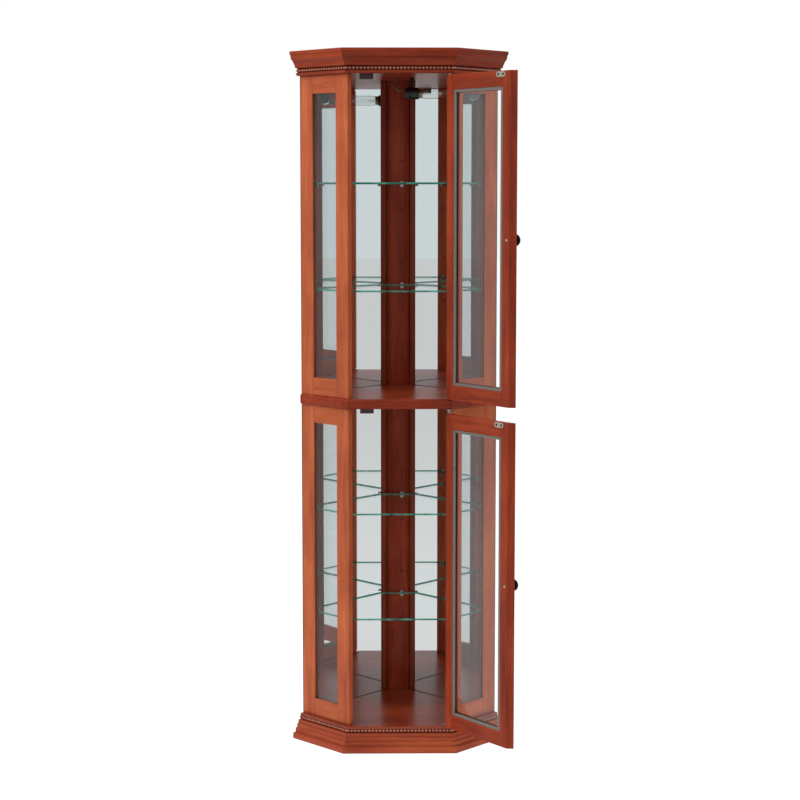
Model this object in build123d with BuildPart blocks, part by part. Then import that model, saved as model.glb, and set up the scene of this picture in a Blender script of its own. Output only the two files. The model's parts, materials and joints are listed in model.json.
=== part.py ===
"""Lighted corner display cabinet with two glass doors, in millimetres.

Five-sided plan for the corner of a room. The origin is on the floor, under the
middle of the body's front face. +X is to a viewer's right, +Y runs back into
the corner and +Z is up. Both doors stand open.
"""

import math
import os

from build123d import *

# ---- heights, from the floor up ----
base_height = 62.0
lower_opening = 804.0
waist_thickness = 25.0
upper_opening = 799.0
crown_height = 60.0

# ---- plan of the body ----
front_half = 127.0
side_run = 121.0
back_panel_thickness = 3.0
mirror_thickness = 3.0

# ---- frames of the sides and doors ----
frame_thickness = 13.0
side_stile_width = 42.0
door_stile_width = 46.0
rail_width = 45.0
rebate_width = 8.0
rebate_depth = 8.0
glass_thickness = 3.0
glass_clearance = 0.6
strip_width = 7.0
strip_setback = 0.5
strip_joint = 0.2

# ---- boards and mouldings ----
floor_board_thickness = 12.0
ledge_thickness = 6.5
ledge_projection = 12.0
ledge_radius = 2.9
top_board_thickness = 16.0
cap_thickness = 6.0
cap_setback = 2.0
waist_projection = 7.5
waist_radius = 5.0
base_lap = 16.0
back_rail_thickness = 16.0
base_projection = 36.0
base_step_radius = 2.2
base_step_rise = 0.04
crown_projection = 35.0
bead_seat = 8.0
bead_diameter = 8.0
crown_bead_rise = 13.0

# ---- rear corner ----
post_half_face = 19.0
post_half_width = 29.0
post_depth = 40.5
post_facet = 5.0
mirror_strip_width = 12.0
mirror_strip_thickness = 5.0
mirror_strip_gap = 1.5
wall_stile_width = 26.0
wall_stile_thickness = 9.0
wall_stile_gap = 0.5

# ---- shelves and their pins ----
shelf_thickness = 5.0
shelf_side_gap = 2.2
shelf_wall_gap = 1.0
shelf_corner_gap = 3.0
shelf_door_gap = 3.0
pin_diameter = 5.0
pin_reach = 13.0
pin_depth = 7.0
pin_plate_height = 16.0
pin_plate_width = 10.0
pin_plate_thickness = 1.6
pin_plate_rise = 3.0
pin_hole_step = 64.0
pin_holes_each_way = 1
front_pin_inset = 24.0
wall_pin_from_edge = 5.0
post_pin_offset = 10.0

# ---- doors and their pivots ----
door_bottom_gap = 2.0
lower_door_top_gap = 9.0
upper_door_top_gap = 4.0
door_edge_gap = 1.06
door_open_angle = 128.5
pivot_in_front = 4.5
pivot_from_corner = 3.0
pivot_pin_diameter = 4.0
pivot_running_gap = 0.05
pivot_play = 0.3
pivot_shoulder_diameter = 6.8
pivot_leaf_thickness = 1.2
pivot_ear_radius = 4.0
pivot_leaf_gap = 1.0
fixed_leaf_land = 1.6
pivot_leaf_setback = 2.0
pivot_pin_tip = 1.0

# ---- small parts ----
knob_diameter = 30.0
knob_reach = 27.0
knob_rim = 16.5
knob_rim_radius = 2.5
knob_neck = 10.0
knob_stem_diameter = 13.0
knob_foot_diameter = 17.0
catch_length = 34.0
catch_height = 13.0
catch_depth = 15.0
catch_offset = 81.0
catch_gap = 0.3
strike_length = 32.0
strike_height = 13.0
strike_thickness = 1.0
strike_top_gap = 1.5
lamp_back = 165.0
lamp_drop = 40.0
lamp_start = 15.0
lamp_holder_diameter = 30.0
lamp_holder_length = 36.0
bulb_diameter = 27.0
bulb_length = 92.0
bracket_width = 9.0
bracket_thickness = 2.0
bracket_foot = 22.0
lead_diameter = 5.0
lead_from_holder = 19.0
lead_straight = 7.0
lead_swing = 18.0
lead_level = 14.0
lead_bends = (3.0, 6.0, 9.0)

# ---- what follows from the sizes ----
LEVELS = ("lower", "upper")
SIDES = ("left", "right")
RUNS = ("front", "left", "right")
DIAGONAL = math.sqrt(2)
waist_bottom = base_height + lower_opening
waist_top = waist_bottom + waist_thickness
ceiling = waist_top + upper_opening
total_height = ceiling + crown_height
floor_of = {"lower": base_height, "upper": waist_top}
opening_of = {"lower": lower_opening, "upper": upper_opening}
door_bottom = {level: floor_of[level] + door_bottom_gap for level in LEVELS}
door_top_gap = {"lower": lower_door_top_gap, "upper": upper_door_top_gap}
door_top = {level: floor_of[level] + opening_of[level] - door_top_gap[level] for level in LEVELS}

outer_half = front_half + side_run
side_length = side_run * DIAGONAL - back_panel_thickness
wall_length = outer_half * DIAGONAL
rear_line = outer_half + side_run
board_line = rear_line - back_panel_thickness * DIAGONAL
mirror_depth = back_panel_thickness + mirror_thickness
mirror_line = rear_line - mirror_depth * DIAGONAL
inner_side_line = front_half - frame_thickness * DIAGONAL
post_front = mirror_line - post_depth
door_half = front_half - door_edge_gap * DIAGONAL
pivot_x = door_half - pivot_from_corner
pivot_y = -pivot_in_front
knob_rise = knob_reach - knob_rim
base_top = base_height - floor_board_thickness
base_steps = ((base_projection, 0.28), (27, 0.5), (22, 0.7), (17, 0.89), (bead_seat, 1))
crest_radius = (knob_diameter**2 / 4 + knob_rise**2) / (2 * knob_rise)
door_leaf_tip = door_half - door_stile_width + rebate_width + pivot_leaf_gap
ear_front = pivot_ear_radius / DIAGONAL
leaf_inner = frame_thickness - pivot_leaf_setback
leaf_heel = pivot_x + 2 * ear_front + pivot_y - leaf_inner
fixed_leaf_tip = leaf_heel - fixed_leaf_land

side_plane = Plane(origin=(front_half, 0, 0), x_dir=(1, 1, 0), z_dir=(0, 0, 1))
wall_plane = Plane(origin=(outer_half, side_run, 0), x_dir=(-1, 1, 0), z_dir=(0, 0, 1))
turn = math.radians(door_open_angle)
door_plane = Plane(
    origin=(
        pivot_x - pivot_x * math.cos(turn) + pivot_y * math.sin(turn),
        pivot_y - pivot_x * math.sin(turn) - pivot_y * math.cos(turn),
        0,
    ),
    x_dir=(math.cos(turn), math.sin(turn), 0),
    z_dir=(0, 0, 1),
)

os.makedirs("parts", exist_ok=True)
saved = []


def save(part, label):
    """Name a finished piece and write it out."""
    part.label = label
    export_step(part, f"parts/{label}.step")
    saved.append(label)


def for_side(plane, points, side):
    """Carry a plan drawn for the right side over to the left one."""
    if side != "left":
        return plane, points
    start, along = plane.origin, plane.x_dir
    flipped = Plane(origin=(-start.X, start.Y, 0), x_dir=(-along.X, along.Y, 0), z_dir=(0, 0, 1))
    return flipped, [(x, -y) for x, y in points]


def prism(points, z_low, z_high, plane=Plane.XY, side="right", mode=Mode.ADD):
    """Add an upright piece whose plan is drawn in a plane's own axes."""
    plane, points = for_side(plane, points, side)
    with BuildSketch(plane.offset(z_low)) as outline:
        with BuildLine():
            Polyline(*points, close=True)
        make_face()
    extrude(outline.sketch, amount=z_high - z_low, mode=mode)


def bar(x_ends, y_ends, z_ends, plane=Plane.XY, side="right", mode=Mode.ADD):
    """Add a rectangular bar from its limits in a plane's own axes."""
    corners = [
        (x_ends[0], y_ends[0]),
        (x_ends[1], y_ends[0]),
        (x_ends[1], y_ends[1]),
        (x_ends[0], y_ends[1]),
    ]
    prism(corners, *z_ends, plane, side, mode)


def rod(start, direction, diameter, length, mode=Mode.ADD):
    """Add a round rod that runs from a point along a direction."""
    with BuildSketch(Plane(origin=start, z_dir=direction)) as section:
        Circle(diameter / 2)
    extrude(section.sketch, amount=length, mode=mode)


def spot(plane, x, y, z, side="right"):
    """A point given in a plane's own axes, in the cabinet's axes."""
    point = plane.from_local_coords((x, y, z))
    return (-point.X, point.Y, point.Z) if side == "left" else (point.X, point.Y, point.Z)


def heading(direction, side="right"):
    """A direction for the right side, carried over to the given side."""
    return (-direction.X, direction.Y, 0) if side == "left" else (direction.X, direction.Y, 0)


def pentagon(projection, rear):
    """Plan of a board that stands out by projection and ends at a rear line."""
    front = front_half + projection * math.tan(math.pi / 8)
    widest = (rear + front_half + projection * DIAGONAL) / 2
    return [
        (-front, -projection),
        (front, -projection),
        (widest, rear - widest),
        (0, rear),
        (-widest, rear - widest),
    ]


def front_edges(face):
    """The three edges of a board that face into the room."""
    return face.edges().sort_by(lambda edge: edge.center().Y)[:3]


# ---- boards ----
with BuildPart() as base_board:
    prism(pentagon(bead_seat, board_line), base_top, base_height)
    prism(pentagon(ledge_projection, board_line), base_height - ledge_thickness, base_height)
    fillet(front_edges(base_board.faces().sort_by(Axis.Z)[-1]), ledge_radius)
save(base_board.part, "base_board")

with BuildPart() as waist_board:
    prism(pentagon(waist_projection, board_line), waist_bottom, waist_top)
    upper_and_lower = waist_board.faces().sort_by(Axis.Z)
    fillet(front_edges(upper_and_lower[-1]) + front_edges(upper_and_lower[0]), waist_radius)
save(waist_board.part, "waist_board")

with BuildPart() as top_board:
    prism(pentagon(0, board_line), ceiling, ceiling + top_board_thickness)
save(top_board.part, "top_board")

with BuildPart() as crown_cap:
    cap_top = total_height - cap_setback
    prism(pentagon(0, board_line), cap_top - cap_thickness, cap_top)
save(crown_cap.part, "crown_cap")

# ---- moulding profiles: x stands out from the body's face, y is height ----
base_outline = [(-base_lap, 0), (base_projection, 0)]
for (reach, share), (next_reach, _) in zip(base_steps, base_steps[1:]):
    base_outline += [(reach, share * base_top), (next_reach, (share + base_step_rise) * base_top)]
base_outline += [(bead_seat, base_top), (-base_lap, base_top)]
with BuildSketch() as base_profile:
    with BuildLine():
        Polyline(*base_outline, close=True)
    make_face()
    edges_of_steps = [(reach, share * base_top) for reach, share in base_steps[:-1]]
    lips = [
        corner
        for corner in base_profile.vertices()
        if any(abs(corner.X - x) + abs(corner.Y - y) < 0.01 for x, y in edges_of_steps)
    ]
    fillet(lips, base_step_radius)

with BuildSketch() as crown_profile:
    with BuildLine():
        foot = Line((0, 0), (bead_seat - 1, 0))
        ovolo = ThreePointArc(foot @ 1, (bead_seat + 3.5, 1.9), (bead_seat + 6, 7))
        seat = Polyline(ovolo @ 1, (bead_seat, 8.5), (bead_seat, 18), (16, 19.5))
        cove = ThreePointArc(seat @ 1, (20.5, 30), (27, 38))
        fascia = Polyline(
            cove @ 1,
            (29.5, 39.5),
            (crown_projection - 2.5, crown_height - 9),
            (crown_projection, crown_height - 7.5),
            (crown_projection, crown_height),
            (0, crown_height),
            foot @ 0,
        )
    make_face()
    fillet([corner for corner in crown_profile.vertices() if corner.X > crown_projection - 0.1], 1.5)

with BuildSketch() as bead_profile:
    with BuildLine():
        flat = Line((bead_seat, -bead_diameter * 0.4), (bead_seat, bead_diameter * 0.4))
        ThreePointArc(flat @ 1, (bead_seat + bead_diameter * 0.8, 0), flat @ 0)
    make_face()


def moulding(profile, run, z):
    """Add one run of a profile, trimmed by the mitres at the body's corners."""
    lean = math.pi / 8
    mitre = Plane(origin=(front_half, 0, 0), z_dir=(math.cos(lean), math.sin(lean), 0))
    if run == "front":
        across = Plane(origin=(outer_half, 0, z), x_dir=(0, -1, 0), z_dir=(-1, 0, 0))
        extrude(across * profile, amount=2 * outer_half)
        split(bisect_by=mitre, keep=Keep.BOTTOM)
        opposite = Plane(origin=(-front_half, 0, 0), z_dir=(-math.cos(lean), math.sin(lean), 0))
        split(bisect_by=opposite, keep=Keep.BOTTOM)
        return
    across = Plane(origin=(outer_half, side_run, z), x_dir=(1, -1, 0), z_dir=(-1, -1, 0))
    extrude(across * profile, amount=2 * wall_length)
    split(bisect_by=mitre, keep=Keep.TOP)
    if run == "left":
        mirror(about=Plane.YZ, mode=Mode.REPLACE)


bead_level = {
    "base": base_height - ledge_thickness - bead_diameter / 2 - 0.3,
    "crown": ceiling + crown_bead_rise,
}
for run in RUNS:
    with BuildPart() as base_run:
        moulding(base_profile.sketch, run, 0)
    save(base_run.part, f"base_{run}")
    with BuildPart() as crown_run:
        moulding(crown_profile.sketch, run, ceiling)
    save(crown_run.part, f"crown_{run}")

for place, level in bead_level.items():
    bead_runs = []
    for run in RUNS:
        with BuildPart() as bead_run:
            moulding(bead_profile.sketch, run, level)
        bead_runs.append(bead_run.part)
    save(Compound(children=bead_runs), f"{place}_bead_rows")


# ---- rear walls ----
def wall_slab(near, depths, z_ends, side):
    """Add a flat piece on a rear wall, mitred against its twin at the apex."""
    shallow, deep = depths
    ends = [(near, shallow), (wall_length - shallow, shallow), (wall_length - deep, deep), (near, deep)]
    prism(ends, *z_ends, wall_plane, side)


rails = []
for side in SIDES:
    with BuildPart() as back_rail:
        wall_slab(base_lap, (0, back_rail_thickness), (0, base_top), side)
    rails.append(back_rail.part)
    with BuildPart() as back_panel:
        wall_slab(0, (0, back_panel_thickness), (base_top, cap_top), side)
    save(back_panel.part, f"back_panel_{side}")
save(Compound(children=rails), "base_back_rails")

wall_stile_near = frame_thickness + wall_stile_gap
wall_stile_far = wall_stile_near + wall_stile_width
wall_stile_face = mirror_depth + wall_stile_thickness
strip_face = mirror_depth + mirror_strip_thickness
strip_far = wall_length - (post_half_width + mirror_strip_gap) * DIAGONAL - strip_face
strip_near = strip_far - mirror_strip_width
pin_drop = shelf_thickness / 2 + pin_diameter / 2


def shelf_levels(level):
    """Heights of the middle of the two shelves, at the thirds of an opening."""
    return [floor_of[level] + opening_of[level] * third / 3 for third in (1, 2)]


def pin_rows(level):
    """Heights of all the pin holes that belong to the shelves of one level."""
    steps = range(-pin_holes_each_way, pin_holes_each_way + 1)
    return [z - pin_drop + step * pin_hole_step for z in shelf_levels(level) for step in steps]


def pin_seats(z):
    """Start and heading of the five pins at one height, at their holes' mouths."""
    seats = []
    for side in SIDES:
        mouth = spot(side_plane, front_pin_inset, frame_thickness, z, side)
        seats.append((mouth, heading(side_plane.y_dir, side)))
        mouth = spot(wall_plane, wall_stile_far - wall_pin_from_edge, wall_stile_face, z, side)
        seats.append((mouth, heading(wall_plane.y_dir, side)))
    seats.append(((post_pin_offset, post_front, z), (0, -1, 0)))
    return seats


def pin_holes(level):
    """Cut every pin hole of a level out of the piece being made."""
    for z in pin_rows(level):
        for mouth, toward in pin_seats(z):
            away = tuple(-part for part in toward)
            rod(mouth, away, pin_diameter, pin_depth, Mode.SUBTRACT)


with BuildPart() as wall_stiles:
    for level in LEVELS:
        z_ends = (floor_of[level], floor_of[level] + opening_of[level])
        for side in SIDES:
            across = (wall_stile_near, wall_stile_far)
            bar(across, (mirror_depth, wall_stile_face), z_ends, wall_plane, side)
        pin_holes(level)
save(wall_stiles.part, "wall_stiles")

with BuildPart() as mirror_strips:
    for level in LEVELS:
        z_ends = (floor_of[level], floor_of[level] + opening_of[level])
        for side in SIDES:
            bar((strip_near, strip_far), (mirror_depth, strip_face), z_ends, wall_plane, side)
save(mirror_strips.part, "mirror_strips")

for level in LEVELS:
    z_ends = (floor_of[level], floor_of[level] + opening_of[level])
    mirrors = []
    for side in SIDES:
        with BuildPart() as wall_mirror:
            wall_slab(wall_stile_near, (back_panel_thickness, mirror_depth), z_ends, side)
        mirrors.append(wall_mirror.part)
    save(Compound(children=mirrors), f"{level}_mirrors")

    with BuildPart() as corner_post:
        flank = mirror_line - post_half_width
        half_plan = [
            (post_half_face, post_front),
            (post_half_width, post_front + post_facet),
            (post_half_width, flank),
        ]
        other_half = [(-x, y) for x, y in reversed(half_plan)]
        prism(half_plan + [(0, mirror_line)] + other_half, *z_ends)
        pin_holes(level)
    save(corner_post.part, f"{level}_corner_post")


# ---- framed glass panels of the sides and doors ----
back_of_lip = frame_thickness - rebate_depth


def stiles(plane, width, stile, bevel, z_ends, side="right"):
    """Add both stiles of a frame, with the rebate that takes the glass."""
    section = [
        (0, 0),
        (stile, 0),
        (stile, back_of_lip),
        (stile - rebate_width, back_of_lip),
        (stile - rebate_width, frame_thickness),
        (bevel, frame_thickness),
    ]
    prism(section, *z_ends, plane, side)
    prism([(width - x, y) for x, y in section], *z_ends, plane, side)


def rails_between(plane, width, stile, z_ends, side="right"):
    """Add the top and bottom rails of a frame."""
    low, high = z_ends
    lip = (stile, width - stile)
    behind = (stile - rebate_width, width - stile + rebate_width)
    bar(lip, (0, back_of_lip), (low, low + rail_width), plane, side)
    bar(behind, (back_of_lip, frame_thickness), (low, low + rail_width - rebate_width), plane, side)
    bar(lip, (0, back_of_lip), (high - rail_width, high), plane, side)
    bar(behind, (back_of_lip, frame_thickness), (high - rail_width + rebate_width, high), plane, side)


def rebate_limits(width, stile, z_ends):
    """Limits of the hollow behind the lips, along the frame and in height."""
    reach = rail_width - rebate_width
    along = (stile - rebate_width, width - stile + rebate_width)
    return along, (z_ends[0] + reach, z_ends[1] - reach)


def pane(plane, width, stile, z_ends, side="right"):
    """Add the glass, bedded on the back of the lips."""
    along, height = rebate_limits(width, stile, z_ends)
    bar(
        (along[0] + glass_clearance, along[1] - glass_clearance),
        (back_of_lip, back_of_lip + glass_thickness),
        (height[0] + glass_clearance, height[1] - glass_clearance),
        plane,
        side,
    )


def glazing_strips(plane, width, stile, z_ends, side="right"):
    """Add the four strips that hold the glass in its rebate."""
    along, height = rebate_limits(width, stile, z_ends)
    depths = (back_of_lip + glass_thickness, frame_thickness - strip_setback)
    for start in (along[0], along[1] - strip_width):
        bar((start, start + strip_width), depths, height, plane, side)
    between = (along[0] + strip_width + strip_joint, along[1] - strip_width - strip_joint)
    for start in (height[0], height[1] - strip_width):
        bar(between, depths, (start, start + strip_width), plane, side)


side_strips = []
for level in LEVELS:
    z_ends = (floor_of[level], floor_of[level] + opening_of[level])
    for side in SIDES:
        with BuildPart() as side_stiles:
            stiles(side_plane, side_length, side_stile_width, 0, z_ends, side)
            pin_holes(level)
        save(side_stiles.part, f"{level}_{side}_stiles")
        with BuildPart() as side_rails:
            rails_between(side_plane, side_length, side_stile_width, z_ends, side)
        save(side_rails.part, f"{level}_{side}_rails")
        with BuildPart() as side_glass:
            pane(side_plane, side_length, side_stile_width, z_ends, side)
        save(side_glass.part, f"{level}_{side}_glass")
        with BuildPart() as strips:
            glazing_strips(side_plane, side_length, side_stile_width, z_ends, side)
        side_strips.append(strips.part)
save(Compound(children=side_strips), "side_glazing_strips")

# ---- glass shelves and their pins ----
shelf_front = frame_thickness + shelf_door_gap
shelf_side = inner_side_line - shelf_side_gap * DIAGONAL
shelf_rear = mirror_line - shelf_wall_gap * DIAGONAL
stile_corner = spot(wall_plane, wall_stile_far, wall_stile_face, 0)
strip_corner = spot(wall_plane, strip_near, strip_face, 0)
shelf_clip = stile_corner[0] - shelf_corner_gap
shelf_back = min(post_front, strip_corner[1]) - shelf_corner_gap
shelf_half = [
    (shelf_side + shelf_front, shelf_front),
    (shelf_clip, shelf_clip - shelf_side),
    (shelf_clip, shelf_rear - shelf_clip),
    (shelf_rear - shelf_back, shelf_back),
]
shelf_plan = shelf_half + [(-x, y) for x, y in reversed(shelf_half)]
pins = []
for level in LEVELS:
    for name, z in zip(("low", "high"), shelf_levels(level)):
        with BuildPart() as shelf:
            prism(shelf_plan, z - shelf_thickness / 2, z + shelf_thickness / 2)
        save(shelf.part, f"{level}_{name}_shelf")
        for mouth, toward in pin_seats(z - pin_drop):
            along = Vector(toward).normalized()
            plate_middle = (mouth[0], mouth[1], mouth[2] + pin_plate_rise)
            with BuildPart() as pin:
                rod(Vector(mouth) - along * pin_depth, toward, pin_diameter, pin_depth + pin_reach)
                with BuildSketch(Plane(origin=plate_middle, x_dir=(0, 0, 1), z_dir=toward)):
                    SlotOverall(pin_plate_height, pin_plate_width)
                extrude(amount=pin_plate_thickness)
            pins.append(pin.part)
save(Compound(children=pins), "shelf_pins")

# ---- doors, drawn shut in the door's own plane ----
frame_plane = Plane(
    origin=door_plane.from_local_coords((-door_half, 0, 0)),
    x_dir=door_plane.x_dir,
    z_dir=(0, 0, 1),
)
door_width = 2 * door_half


def pivot_leaf(tip, z_low, z_high, plane, mode=Mode.ADD):
    """Add one pivot leaf: a flat arm in line with the frame and an ear at the pin."""
    arm = [
        (tip, pivot_leaf_setback),
        (pivot_x - pivot_ear_radius * 2, pivot_leaf_setback),
        (pivot_x - ear_front, pivot_y - ear_front),
        (pivot_x + ear_front, pivot_y + ear_front),
        (leaf_heel, leaf_inner),
        (tip, leaf_inner),
    ]
    prism(arm, z_low, z_high, plane, mode=mode)
    rod(spot(plane, pivot_x, pivot_y, z_low), (0, 0, 1), 2 * pivot_ear_radius, z_high - z_low, mode)


hole_diameter = pivot_pin_diameter + 2 * pivot_running_gap
fixed_pivots = []
for level in LEVELS:
    low, high = door_bottom[level], door_top[level]
    z_ends = (low, high)
    floor, lid = floor_of[level], floor_of[level] + opening_of[level]
    leaf_levels = ((low, low + pivot_leaf_thickness), (high - pivot_leaf_thickness, high))

    with BuildPart() as door_stiles:
        stiles(frame_plane, door_width, door_stile_width, frame_thickness, z_ends)
        for leaf_low, leaf_high in leaf_levels:
            pivot_leaf(door_leaf_tip, leaf_low, leaf_high, door_plane, Mode.SUBTRACT)
    save(door_stiles.part, f"{level}_door_stiles")

    with BuildPart() as door_rails:
        rails_between(frame_plane, door_width, door_stile_width, z_ends)
    save(door_rails.part, f"{level}_door_rails")

    with BuildPart() as door_glass:
        pane(frame_plane, door_width, door_stile_width, z_ends)
    save(door_glass.part, f"{level}_door_glass")

    with BuildPart() as door_strips:
        glazing_strips(frame_plane, door_width, door_stile_width, z_ends)
    save(door_strips.part, f"{level}_door_glazing_strips")

    with BuildPart() as door_pivots:
        for leaf_low, leaf_high in leaf_levels:
            pivot_leaf(door_leaf_tip, leaf_low, leaf_high, door_plane)
            centre = (pivot_x, pivot_y, leaf_low)
            rod(centre, (0, 0, 1), hole_diameter, pivot_leaf_thickness, Mode.SUBTRACT)
    save(door_pivots.part, f"{level}_door_pivot_leaves")

    axis_foot = (pivot_x, pivot_y, floor)
    with BuildPart() as bottom_pivot:
        pivot_leaf(fixed_leaf_tip, floor, floor + pivot_leaf_thickness, Plane.XY)
        rod(axis_foot, (0, 0, 1), pivot_shoulder_diameter, low - pivot_play - floor)
        rod(axis_foot, (0, 0, 1), pivot_pin_diameter, low + pivot_leaf_thickness + pivot_pin_tip - floor)
    with BuildPart() as top_pivot:
        axis_head = (pivot_x, pivot_y, lid)
        pivot_leaf(fixed_leaf_tip, lid - pivot_leaf_thickness, lid, Plane.XY)
        rod(axis_head, (0, 0, -1), pivot_shoulder_diameter, lid - high - pivot_play)
        rod(axis_head, (0, 0, -1), pivot_pin_diameter, lid - high + pivot_leaf_thickness + pivot_pin_tip)
    fixed_pivots += [bottom_pivot.part, top_pivot.part]

    # knob in the middle of the free stile, on the outer face
    knob_centre = door_plane.from_local_coords((-door_half + door_stile_width / 2, 0, (low + high) / 2))
    outward = Plane(origin=knob_centre, x_dir=door_plane.x_dir, z_dir=-door_plane.y_dir)
    with BuildPart() as knob:
        with BuildSketch(Plane.XZ) as half_profile:
            with BuildLine():
                foot = Line((0, 0), (knob_foot_diameter / 2, 0))
                waist = (knob_stem_diameter / 2, knob_neck / 2)
                neck = ThreePointArc(foot @ 1, waist, (knob_stem_diameter / 2 + 1, knob_neck))
                flare = Line(neck @ 1, (knob_diameter / 2, knob_rim))
                crest = RadiusArc(flare @ 1, (0, knob_reach), -crest_radius)
                Line(crest @ 1, foot @ 0)
            make_face()
            fillet(half_profile.vertices().sort_by(Axis.X)[-1], knob_rim_radius)
        revolve(axis=Axis.Z)
    save(outward.location * knob.part, f"{level}_knob")

    # oval strike plate on the inner face, opposite the catch
    with BuildPart() as strike:
        strike_z = high - strike_top_gap - strike_height / 2
        centre = door_plane.from_local_coords((-catch_offset, frame_thickness, strike_z))
        with BuildSketch(Plane(origin=centre, x_dir=door_plane.x_dir, z_dir=door_plane.y_dir)):
            SlotOverall(strike_length, strike_height)
        extrude(amount=strike_thickness)
    save(strike.part, f"{level}_strike_plate")
save(Compound(children=fixed_pivots), "fixed_pivots")

# ---- magnetic catches under the boards ----
catch_front = frame_thickness + strike_thickness + catch_gap
with BuildPart() as catches:
    for lid in (waist_bottom, ceiling):
        bar(
            (-catch_offset - catch_length / 2, -catch_offset + catch_length / 2),
            (catch_front, catch_front + catch_depth),
            (lid - catch_height, lid),
        )
save(catches.part, "magnetic_catches")

# ---- lamp under the top board ----
lamp_z = ceiling - lamp_drop
with BuildPart() as lamp_holder:
    rod((lamp_start, lamp_back, lamp_z), (1, 0, 0), lamp_holder_diameter, lamp_holder_length)
    fillet(lamp_holder.faces().sort_by(Axis.X)[0].edges(), 2)
save(lamp_holder.part, "lamp_holder")

with BuildPart() as lamp_bulb:
    bulb_start = lamp_start + lamp_holder_length
    rod((bulb_start, lamp_back, lamp_z), (1, 0, 0), bulb_diameter, bulb_length)
    fillet(lamp_bulb.faces().sort_by(Axis.X)[-1].edges(), bulb_diameter * 0.42)
save(lamp_bulb.part, "lamp_bulb")

with BuildPart() as lamp_bracket:
    middle = lamp_start + lamp_holder_length / 2
    width = (middle - bracket_width / 2, middle + bracket_width / 2)
    upright = (lamp_back - bracket_thickness / 2, lamp_back + bracket_thickness / 2)
    bar(width, upright, (lamp_z, ceiling))
    bar(width, (upright[0], upright[0] + bracket_foot), (ceiling - bracket_thickness, ceiling))
    rod(
        (lamp_start, lamp_back, lamp_z),
        (1, 0, 0),
        lamp_holder_diameter,
        lamp_holder_length,
        Mode.SUBTRACT,
    )
save(lamp_bracket.part, "lamp_bracket")

with BuildPart() as lamp_lead:
    lead_hole = lamp_start - lead_from_holder
    entry = lamp_z + lamp_holder_diameter / 4
    with BuildLine() as lead_path:
        FilletPolyline(
            (lead_hole, lamp_back, ceiling),
            (lead_hole, lamp_back, ceiling - lead_straight),
            (lead_hole - lead_swing, lamp_back, (ceiling + entry) / 2),
            (lamp_start - lead_level, lamp_back, entry),
            (lamp_start, lamp_back, entry),
            radius=lead_bends,
        )
    with BuildSketch(Plane(origin=lead_path.line @ 0, z_dir=lead_path.line % 0)):
        Circle(lead_diameter / 2)
    sweep()
save(lamp_lead.part, "lamp_lead")

print(f"{len(saved)} nodes, total height {total_height:g}")
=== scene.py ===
# %% [markdown]
# # A lighted corner cabinet with glass doors
#
# The cabinet is a five-sided tower for the corner of a room. Its frames are
# stained cherry-coloured wood, its two rear walls are mirrors, its shelves and
# panes are glass, and a tubular lamp lies under the top. Both doors stand open.
#
# Every lesson cell below takes one piece or one finish: first what it is on
# the real cabinet, then how it is made here.

import json
from math import cos, pi, radians, sin, sqrt, tan

import bmesh
import bpy
from mathutils import Matrix, Vector

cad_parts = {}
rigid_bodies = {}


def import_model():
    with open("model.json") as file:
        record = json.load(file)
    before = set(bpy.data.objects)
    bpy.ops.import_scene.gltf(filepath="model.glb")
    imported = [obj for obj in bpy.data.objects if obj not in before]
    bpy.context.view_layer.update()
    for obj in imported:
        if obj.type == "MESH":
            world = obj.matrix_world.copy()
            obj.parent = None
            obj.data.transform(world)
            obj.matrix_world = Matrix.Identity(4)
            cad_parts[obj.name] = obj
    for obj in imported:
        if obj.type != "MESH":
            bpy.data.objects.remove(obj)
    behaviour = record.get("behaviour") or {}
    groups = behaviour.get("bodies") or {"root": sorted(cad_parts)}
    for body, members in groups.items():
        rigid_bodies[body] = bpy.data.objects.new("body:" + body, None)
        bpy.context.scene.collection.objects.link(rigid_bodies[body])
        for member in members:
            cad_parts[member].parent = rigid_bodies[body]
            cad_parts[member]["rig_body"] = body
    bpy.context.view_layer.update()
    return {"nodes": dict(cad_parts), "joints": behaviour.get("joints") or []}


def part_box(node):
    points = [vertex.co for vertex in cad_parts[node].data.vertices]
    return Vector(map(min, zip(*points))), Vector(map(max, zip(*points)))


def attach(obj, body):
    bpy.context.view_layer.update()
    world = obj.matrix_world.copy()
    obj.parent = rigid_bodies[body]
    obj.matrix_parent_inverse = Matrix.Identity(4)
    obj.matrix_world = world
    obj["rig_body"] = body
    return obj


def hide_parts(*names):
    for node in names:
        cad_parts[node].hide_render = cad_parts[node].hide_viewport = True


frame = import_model()
MM = 0.001

# %% [markdown]
# ## The camera
#
# The camera stands a little over four metres in front, at the height of a
# standing person's eyes, and looks slightly down and to the right. A long
# lens keeps the tall, narrow cabinet from leaning. A small downward shift
# brings the plinth into the frame without tilting the lens any further.

# %% Place the camera
camera_data = bpy.data.cameras.new("eye_level_camera")
camera_data.lens = 80.57
camera_data.sensor_width = 36.0
camera_data.shift_y = -0.05
camera_data.clip_end = 60.0
camera = bpy.data.objects.new("eye_level_camera", camera_data)
camera.location = (-0.0530, -4.4095, 1.4172)
camera.rotation_euler = (radians(90 - 5.555), 0, radians(-0.704))
bpy.context.scene.collection.objects.link(camera)
bpy.context.scene.camera = camera
print("lens", camera_data.lens, "mm, distance", round(-camera.location.y, 2), "m")

# %% [markdown]
# ## Adding nodes
#
# Every material and every Geometry Nodes tree below is built with one small
# function. It makes a node, sets its properties, and gives each input either
# a constant or a link from another node's output.

# %% One function that adds a node
def add_node(tree, kind, inputs=None, **settings):
    """Add a node. inputs maps a socket's name or place to a value or to an output."""
    node = tree.nodes.new(kind)
    for name, value in settings.items():
        setattr(node, name, value)
    for name, value in (inputs or {}).items():
        if isinstance(value, bpy.types.NodeSocket):
            tree.links.new(value, node.inputs[name])
        else:
            node.inputs[name].default_value = value
    return node


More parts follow.
